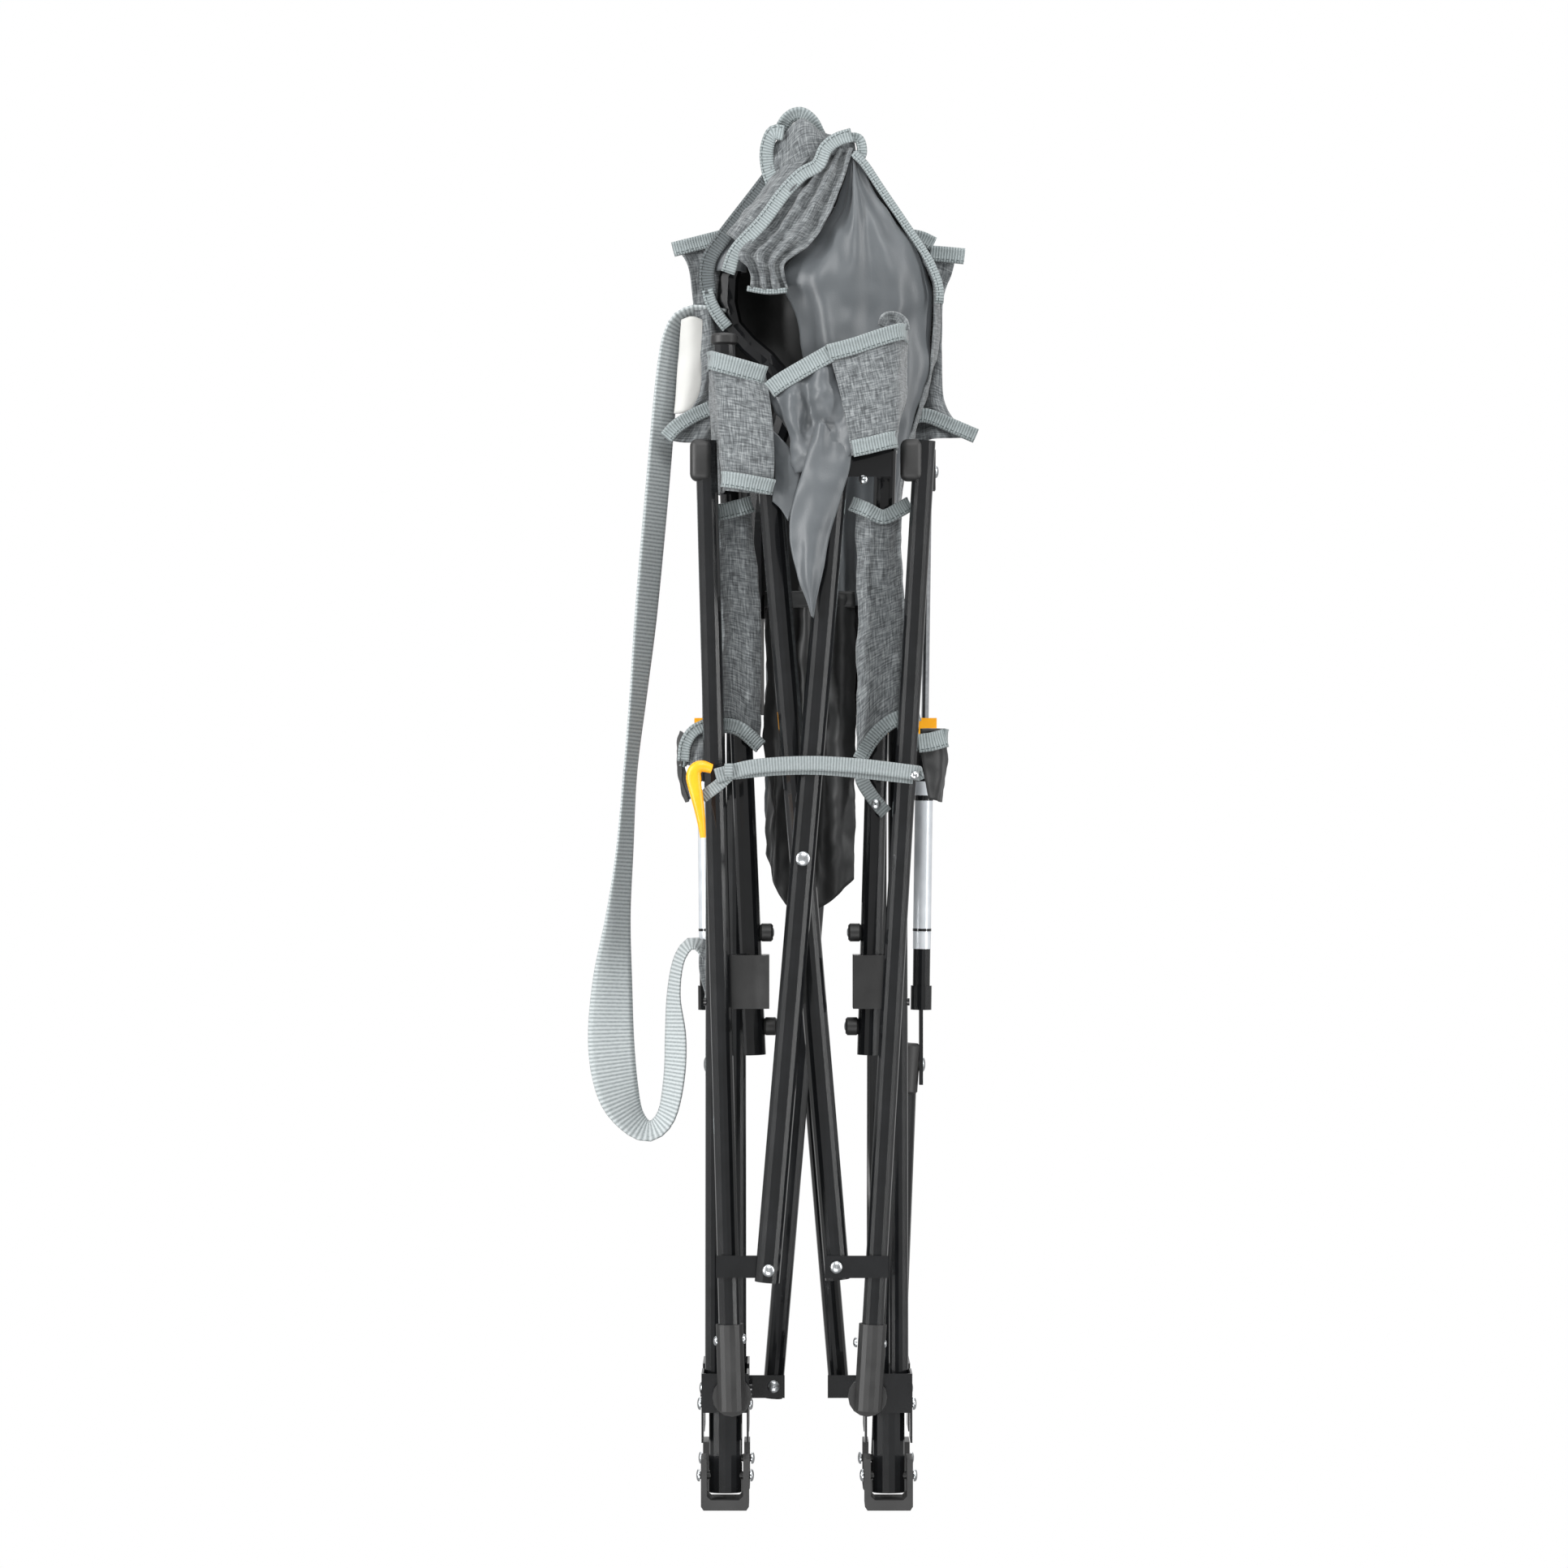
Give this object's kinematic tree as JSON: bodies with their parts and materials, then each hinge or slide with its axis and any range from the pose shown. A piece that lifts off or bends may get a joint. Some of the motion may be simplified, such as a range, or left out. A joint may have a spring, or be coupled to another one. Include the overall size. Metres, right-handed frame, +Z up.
{
  "type": "folding camp chair",
  "caption": "High-back folding camp chair with scissor frame, rocking struts and fabric sling, shown folded upright.",
  "frame": {"origin": "middle of the bounding box at floor level, under the folded chair", "axes": "+Z up the legs, the chair's front faces -Y, +X to its right as seen from the front"},
  "size_m": [0.3034, 0.217, 1.078],
  "materials": {
    "powder_coated_steel": "satin black powder coat",
    "moulded_black_plastic": "moulded, matte",
    "moulded_yellow_plastic": "moulded, satin",
    "chromed_rod": "polished",
    "heather_fabric": "heathered polyester",
    "coated_fabric": "coated side of the cloth",
    "pale_webbing": "ribbed webbing",
    "carry_webbing": "woven webbing"
  },
  "bodies": {
    "front_left": {"front_leg_left": "powder_coated_steel", "front_elbow_left": "moulded_black_plastic", "front_hub_left": "powder_coated_steel", "front_stub_left": "powder_coated_steel", "front_bracket_left": "powder_coated_steel", "guide_left": "moulded_black_plastic"},
    "front_right": {"front_leg_right": "powder_coated_steel", "front_elbow_right": "moulded_black_plastic", "front_hub_right": "powder_coated_steel", "front_stub_right": "powder_coated_steel", "front_bracket_right": "powder_coated_steel", "guide_right": "moulded_black_plastic"},
    "front_scissor_a": {"front_scissor_a": "powder_coated_steel"},
    "front_scissor_b": {"front_scissor_b": "powder_coated_steel"},
    "post_left": {"post_left": "powder_coated_steel", "post_bracket_left": "powder_coated_steel", "arm_front_left": "heather_fabric", "sleeve_left": "heather_fabric", "cup_holder": "coated_fabric"},
    "post_right": {"post_right": "powder_coated_steel", "post_bracket_right": "powder_coated_steel", "arm_front_right": "heather_fabric", "sleeve_right": "heather_fabric", "side_pocket": "coated_fabric"},
    "left_scissor_outer": {"left_scissor_outer": "powder_coated_steel"},
    "left_scissor_inner": {"left_scissor_inner": "powder_coated_steel"},
    "right_scissor_outer": {"right_scissor_outer": "powder_coated_steel"},
    "right_scissor_inner": {"right_scissor_inner": "powder_coated_steel"},
    "rear_left": {"rear_leg_left": "powder_coated_steel", "rear_hub_left": "powder_coated_steel", "strut_cylinder_left": "powder_coated_steel", "strut_cap_left": "moulded_yellow_plastic", "carry_strap": "carry_webbing"},
    "rear_right": {"rear_leg_right": "powder_coated_steel", "rear_hub_right": "powder_coated_steel", "strut_cylinder_right": "powder_coated_steel", "strut_cap_right": "moulded_yellow_plastic"},
    "cane_left": {"cane_left": "powder_coated_steel", "strut_rod_left": "chromed_rod", "strut_block_left": "moulded_black_plastic", "back_left": "heather_fabric"},
    "cane_right": {"cane_right": "powder_coated_steel", "strut_rod_right": "chromed_rod", "strut_block_right": "moulded_black_plastic"},
    "rear_scissor_c": {"rear_scissor_c": "powder_coated_steel"},
    "rear_scissor_d": {"rear_scissor_d": "powder_coated_steel"},
    "back_right": {"back_right": "heather_fabric"},
    "seat_front_left": {"seat_front_left": "coated_fabric"},
    "seat_front_right": {"seat_front_right": "coated_fabric"},
    "seat_rear_left": {"seat_rear_left": "coated_fabric"},
    "seat_rear_right": {"seat_rear_right": "coated_fabric"},
    "arm_rear_left": {"arm_rear_left": "heather_fabric"},
    "arm_rear_right": {"arm_rear_right": "heather_fabric"},
    "fold_strap": {"fold_strap": "pale_webbing", "strap_hook": "moulded_yellow_plastic"},
    "foot_front_left": {"foot_front_left": "moulded_black_plastic"},
    "foot_front_right": {"foot_front_right": "moulded_black_plastic"},
    "foot_rear_left": {"foot_rear_left": "moulded_black_plastic"},
    "foot_rear_right": {"foot_rear_right": "moulded_black_plastic"}
  },
  "joints": [
    {"name": "unfold", "type": "hinge", "parent": "front_left", "child": "front_scissor_a", "pos_m": [-0.01025, -0.0905, 0.188], "axis": [0, 1, 0], "range_deg": [0, 36], "deforming": ["back_left", "back_right", "seat_front_left", "seat_front_right", "seat_rear_left", "seat_rear_right", "arm_front_left", "arm_rear_left", "arm_front_right", "arm_rear_right", "sleeve_left", "sleeve_right", "cup_holder", "side_pocket", "fold_strap", "carry_strap", "strap_hook"]},
    {"name": "front_cross", "type": "hinge", "parent": "front_scissor_a", "child": "front_scissor_b", "pos_m": [0.01574, -0.068, 0.4949], "axis": [0, 1, 0], "range_deg": [-72.5, 0]},
    {"name": "front_right_foot_pivot", "type": "hinge", "parent": "front_scissor_b", "child": "front_right", "pos_m": [0.04173, -0.068, 0.188], "axis": [0, 1, 0], "range_deg": [0, 36.5]},
    {"name": "left_post_pivot", "type": "hinge", "parent": "front_scissor_b", "child": "post_left", "pos_m": [-0.01025, -0.068, 0.8018], "axis": [0, 1, 0], "range_deg": [0, 36.5]},
    {"name": "right_post_pivot", "type": "hinge", "parent": "front_scissor_a", "child": "post_right", "pos_m": [0.04173, -0.0905, 0.8018], "axis": [0, 1, 0], "range_deg": [-36.5, 0]},
    {"name": "left_side_low_pivot", "type": "hinge", "parent": "front_left", "child": "left_scissor_outer", "pos_m": [-0.05176, -0.02299, 0.08], "axis": [-1, 0, 0], "range_deg": [0, 36.5]},
    {"name": "left_side_cross", "type": "hinge", "parent": "left_scissor_outer", "child": "left_scissor_inner", "pos_m": [-0.04351, 0.003, 0.3869], "axis": [-1, 0, 0], "range_deg": [-72.5, 0]},
    {"name": "left_rear_foot_pivot", "type": "hinge", "parent": "left_scissor_inner", "child": "rear_left", "pos_m": [-0.03526, 0.02899, 0.08], "axis": [-1, 0, 0], "range_deg": [0, 36.5]},
    {"name": "left_cane_pivot", "type": "hinge", "parent": "left_scissor_outer", "child": "cane_left", "pos_m": [-0.05176, 0.02899, 0.6938], "axis": [-1, 0, 0], "range_deg": [-36.5, 0]},
    {"name": "right_side_low_pivot", "type": "hinge", "parent": "front_right", "child": "right_scissor_outer", "pos_m": [0.09024, -0.02299, 0.08], "axis": [-1, 0, 0], "range_deg": [0, 36.5]},
    {"name": "right_side_cross", "type": "hinge", "parent": "right_scissor_outer", "child": "right_scissor_inner", "pos_m": [0.08199, 0.003, 0.3869], "axis": [-1, 0, 0], "range_deg": [-72.5, 0]},
    {"name": "right_rear_foot_pivot", "type": "hinge", "parent": "right_scissor_inner", "child": "rear_right", "pos_m": [0.07374, 0.02899, 0.08], "axis": [-1, 0, 0], "range_deg": [0, 36.5]},
    {"name": "right_cane_pivot", "type": "hinge", "parent": "right_scissor_outer", "child": "cane_right", "pos_m": [0.09024, 0.02899, 0.6938], "axis": [-1, 0, 0], "range_deg": [-36.5, 0]},
    {"name": "rear_low_pivot", "type": "hinge", "parent": "rear_left", "child": "rear_scissor_c", "pos_m": [-0.00675, 0.081, 0.08], "axis": [0, 1, 0], "range_deg": [0, 36.5]},
    {"name": "rear_cross", "type": "hinge", "parent": "rear_scissor_c", "child": "rear_scissor_d", "pos_m": [0.01924, 0.0985, 0.3869], "axis": [0, 1, 0], "range_deg": [-72.5, 0]},
    {"name": "back_spread", "type": "slide", "parent": "cane_left", "child": "back_right", "axis": [1, 0, 0], "range_m": [0, 0.3539]},
    {"name": "seat_front_tilt", "type": "hinge", "parent": "post_left", "child": "seat_front_left", "pos_m": [0.01924, -0.0355, 0.68], "axis": [1, 0, 0], "range_deg": [0, 61.11]},
    {"name": "seat_front_spread", "type": "slide", "parent": "seat_front_left", "child": "seat_front_right", "axis": [1, 0, 0], "range_m": [0, 0.3539]},
    {"name": "seat_rear_tilt", "type": "hinge", "parent": "cane_left", "child": "seat_rear_left", "pos_m": [0.01924, 0.0415, 0.68], "axis": [1, 0, 0], "range_deg": [-61.11, 0]},
    {"name": "seat_rear_spread", "type": "slide", "parent": "seat_rear_left", "child": "seat_rear_right", "axis": [1, 0, 0], "range_m": [0, 0.3539]},
    {"name": "left_arm_reach", "type": "slide", "parent": "post_left", "child": "arm_rear_left", "axis": [0, 1, 0], "range_m": [0, 0.3539]},
    {"name": "right_arm_reach", "type": "slide", "parent": "post_right", "child": "arm_rear_right", "axis": [0, 1, 0], "range_m": [0, 0.3539]},
    {"name": "strap_swing", "type": "hinge", "parent": "front_right", "child": "fold_strap", "pos_m": [0.10434, -0.106, 0.564], "axis": [0, 1, 0], "range_deg": [-80.5, 0]},
    {"name": "foot_tilt_front_left", "type": "hinge", "parent": "front_left", "child": "foot_front_left", "pos_m": [-0.04351, -0.041, 0.025], "axis": [1, 0, 0], "range_deg": [-8, 8]},
    {"name": "foot_tilt_rear_left", "type": "hinge", "parent": "rear_left", "child": "foot_rear_left", "pos_m": [-0.04351, 0.063, 0.025], "axis": [1, 0, 0], "range_deg": [-8, 8]},
    {"name": "foot_tilt_front_right", "type": "hinge", "parent": "front_right", "child": "foot_front_right", "pos_m": [0.08199, -0.041, 0.025], "axis": [1, 0, 0], "range_deg": [-8, 8]},
    {"name": "foot_tilt_rear_right", "type": "hinge", "parent": "rear_right", "child": "foot_rear_right", "pos_m": [0.08199, 0.063, 0.025], "axis": [1, 0, 0], "range_deg": [-8, 8]}
  ],
  "couplings": [
    {"joint": "front_cross", "follows": "unfold", "ratio": -2},
    {"joint": "front_right_foot_pivot", "follows": "unfold", "ratio": 1},
    {"joint": "left_post_pivot", "follows": "unfold", "ratio": 1},
    {"joint": "right_post_pivot", "follows": "unfold", "ratio": -1},
    {"joint": "left_side_low_pivot", "follows": "unfold", "ratio": 1},
    {"joint": "left_side_cross", "follows": "unfold", "ratio": -2},
    {"joint": "left_rear_foot_pivot", "follows": "unfold", "ratio": 1},
    {"joint": "left_cane_pivot", "follows": "unfold", "ratio": -1},
    {"joint": "right_side_low_pivot", "follows": "unfold", "ratio": 1},
    {"joint": "right_side_cross", "follows": "unfold", "ratio": -2},
    {"joint": "right_rear_foot_pivot", "follows": "unfold", "ratio": 1},
    {"joint": "right_cane_pivot", "follows": "unfold", "ratio": -1},
    {"joint": "rear_low_pivot", "follows": "unfold", "ratio": 1},
    {"joint": "rear_cross", "follows": "unfold", "ratio": -2},
    {"joint": "back_spread", "follows": "unfold", "m_per_rad": 0.55841},
    {"joint": "seat_front_tilt", "follows": "unfold", "ratio": 1.6835},
    {"joint": "seat_front_spread", "follows": "unfold", "m_per_rad": 0.55841},
    {"joint": "seat_rear_tilt", "follows": "unfold", "ratio": -1.6835},
    {"joint": "seat_rear_spread", "follows": "unfold", "m_per_rad": 0.55841},
    {"joint": "left_arm_reach", "follows": "unfold", "m_per_rad": 0.55841},
    {"joint": "right_arm_reach", "follows": "unfold", "m_per_rad": 0.55841},
    {"joint": "strap_swing", "follows": "unfold", "ratio": -2.2222}
  ]
}
